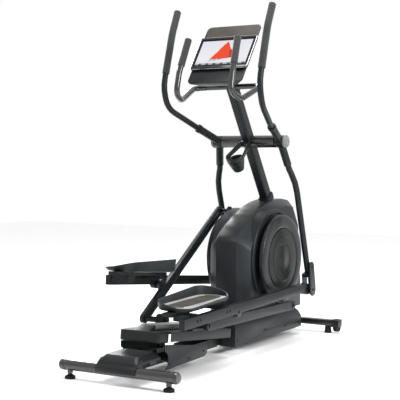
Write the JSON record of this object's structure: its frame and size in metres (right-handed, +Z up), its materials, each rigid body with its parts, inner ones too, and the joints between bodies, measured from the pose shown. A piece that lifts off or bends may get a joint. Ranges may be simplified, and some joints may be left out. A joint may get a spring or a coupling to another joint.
{
  "type": "elliptical trainer",
  "caption": "Elliptical trainer with a front drive housing, roller arms on an incline ramp, swinging hand levers, fixed grips, foot pedals and a tilting console.",
  "frame": {"origin": "bottom centre of the bounding box, on the floor under the middle of the machine", "axes": "+Y towards the drive housing at the front, +X to the right of a user who faces the console, +Z up"},
  "size_m": [0.622, 1.7784, 1.752],
  "materials": {
    "aluminium": "extruded aluminium strip",
    "cast_iron": "machined cast iron",
    "dark_plastic": "textured black moulded plastic",
    "frame_paint": "satin charcoal powder coat",
    "gloss_black": "glossy black powder coat",
    "gloss_plastic": "glossy black moulded plastic",
    "grey_plastic": "moulded grey plastic",
    "grip_rubber": "ribbed moulded rubber",
    "housing_plastic": "fine textured moulded slate plastic",
    "light_plastic": "moulded light grey plastic",
    "pad_rubber": "textured foot pad",
    "roller_urethane": "moulded urethane",
    "rubber": "moulded rubber",
    "screen_glass": "display glass",
    "steel": "turned steel"
  },
  "bodies": {
    "frame": {"base_frame": "frame_paint", "rear_stabiliser": "gloss_black", "front_stabiliser": "gloss_black", "tube_end_caps": "light_plastic", "wheel_forks": "dark_plastic", "front_feet": "rubber", "rear_frame_cover": "dark_plastic", "rear_side_covers": "grey_plastic", "front_side_covers": "grey_plastic", "housing_left": "housing_plastic", "housing_right": "housing_plastic", "housing_spine": "dark_plastic", "upright_post": "frame_paint", "crossbar": "gloss_black", "bottle_holder": "dark_plastic", "fixed_handlebar": "gloss_black", "handlebar_grips": "grip_rubber", "crank_bearings": "steel", "lift_motor": "gloss_black", "power_inlet": "dark_plastic", "drive_belt": "rubber"},
    "crank": {"crank_axle": "steel", "crank_arm_left": "frame_paint", "crank_arm_right": "frame_paint", "crank_discs": "grey_plastic", "disc_covers": "gloss_plastic", "drive_pulley": "dark_plastic"},
    "flywheel": {"flywheel": "cast_iron"},
    "ramp": {"ramp_deck": "dark_plastic", "ramp_strip": "aluminium", "ramp_end_cap": "dark_plastic"},
    "console": {"console_shell": "dark_plastic", "console_bezel": "gloss_plastic", "console_screen": "screen_glass"},
    "levelling_foot_left": {"levelling_foot_left": "rubber"},
    "transport_wheel_left": {"transport_wheel_left": "rubber"},
    "swing_arm_left": {"upper_arm_left": "frame_paint", "hand_grip_left": "grip_rubber", "pivot_hub_left": "frame_paint", "lower_leg_left": "frame_paint", "leg_cover_left": "grey_plastic"},
    "pedal_left": {"pedal_arm_left": "frame_paint", "pedal_tray_left": "grey_plastic", "pedal_pad_left": "pad_rubber"},
    "roller_arm_left": {"roller_arm_left": "frame_paint"},
    "ramp_roller_left": {"ramp_roller_left": "roller_urethane"},
    "levelling_foot_right": {"levelling_foot_right": "rubber"},
    "transport_wheel_right": {"transport_wheel_right": "rubber"},
    "swing_arm_right": {"upper_arm_right": "frame_paint", "hand_grip_right": "grip_rubber", "pivot_hub_right": "frame_paint", "lower_leg_right": "frame_paint", "leg_cover_right": "grey_plastic"},
    "pedal_right": {"pedal_arm_right": "frame_paint", "pedal_tray_right": "grey_plastic", "pedal_pad_right": "pad_rubber"},
    "roller_arm_right": {"roller_arm_right": "frame_paint"},
    "ramp_roller_right": {"ramp_roller_right": "roller_urethane"}
  },
  "joints": [
    {"name": "crank_spin", "type": "hinge", "parent": "frame", "child": "crank", "pos_m": [0, 0.40925, 0.449], "axis": [1, 0, 0], "continuous": true},
    {"name": "flywheel_spin", "type": "hinge", "parent": "frame", "child": "flywheel", "pos_m": [0, 0.55925, 0.25], "axis": [1, 0, 0], "continuous": true},
    {"name": "ramp_incline", "type": "hinge", "parent": "frame", "child": "ramp", "pos_m": [0, -0.06075, 0.11], "axis": [1, 0, 0], "range_deg": [0, 3]},
    {"name": "console_tilt", "type": "hinge", "parent": "frame", "child": "console", "pos_m": [0, 0.1058, 1.42481], "axis": [1, 0, 0], "range_deg": [-8, 12]},
    {"name": "swing_right", "type": "hinge", "parent": "frame", "child": "swing_arm_right", "pos_m": [0, 0.34625, 1.067], "axis": [1, 0, 0], "range_deg": [-15, 15]},
    {"name": "pedal_hinge_right", "type": "hinge", "parent": "swing_arm_right", "child": "pedal_right", "pos_m": [0, 0.56958, 0.2728], "axis": [1, 0, 0], "range_deg": [-10.2, 10.2]},
    {"name": "roller_arm_hinge_right", "type": "hinge", "parent": "pedal_right", "child": "roller_arm_right", "pos_m": [0, -0.2252, 0.25409], "axis": [1, 0, 0], "range_deg": [-1.7, 1.7]},
    {"name": "roller_spin_right", "type": "hinge", "parent": "roller_arm_right", "child": "ramp_roller_right", "pos_m": [0, -0.43584, 0.21544], "axis": [1, 0, 0], "continuous": true},
    {"name": "swing_left", "type": "hinge", "parent": "frame", "child": "swing_arm_left", "pos_m": [0, 0.34625, 1.067], "axis": [1, 0, 0], "range_deg": [-15, 15]},
    {"name": "pedal_hinge_left", "type": "hinge", "parent": "swing_arm_left", "child": "pedal_left", "pos_m": [0, 0.58551, 0.27746], "axis": [1, 0, 0], "range_deg": [-9.7, 9.7]},
    {"name": "roller_arm_hinge_left", "type": "hinge", "parent": "pedal_left", "child": "roller_arm_left", "pos_m": [0, -0.20537, 0.35824], "axis": [1, 0, 0], "range_deg": [-1.9, 1.9]},
    {"name": "roller_spin_left", "type": "hinge", "parent": "roller_arm_left", "child": "ramp_roller_left", "pos_m": [0, -0.35638, 0.20639], "axis": [1, 0, 0], "continuous": true},
    {"name": "transport_wheel_spin_right", "type": "hinge", "parent": "frame", "child": "transport_wheel_right", "pos_m": [0, 0.85325, 0.043], "axis": [1, 0, 0], "continuous": true},
    {"name": "levelling_foot_turn_right", "type": "hinge", "parent": "frame", "child": "levelling_foot_right", "pos_m": [0.262, -0.86075, 0.02], "axis": [0, 0, 1], "continuous": true},
    {"name": "transport_wheel_spin_left", "type": "hinge", "parent": "frame", "child": "transport_wheel_left", "pos_m": [0, 0.85325, 0.043], "axis": [1, 0, 0], "continuous": true},
    {"name": "levelling_foot_turn_left", "type": "hinge", "parent": "frame", "child": "levelling_foot_left", "pos_m": [-0.262, -0.86075, 0.02], "axis": [0, 0, 1], "continuous": true}
  ],
  "couplings": [
    {"joint": "flywheel_spin", "follows": "crank_spin", "ratio": 7.5},
    {"joint": "pedal_hinge_right", "follows": "swing_right", "ratio": -0.6651},
    {"joint": "roller_arm_hinge_right", "follows": "swing_right", "ratio": -0.1002},
    {"joint": "swing_left", "follows": "swing_right", "ratio": -1},
    {"joint": "pedal_hinge_left", "follows": "swing_right", "ratio": 0.631},
    {"joint": "roller_arm_hinge_left", "follows": "swing_right", "ratio": 0.115}
  ]
}
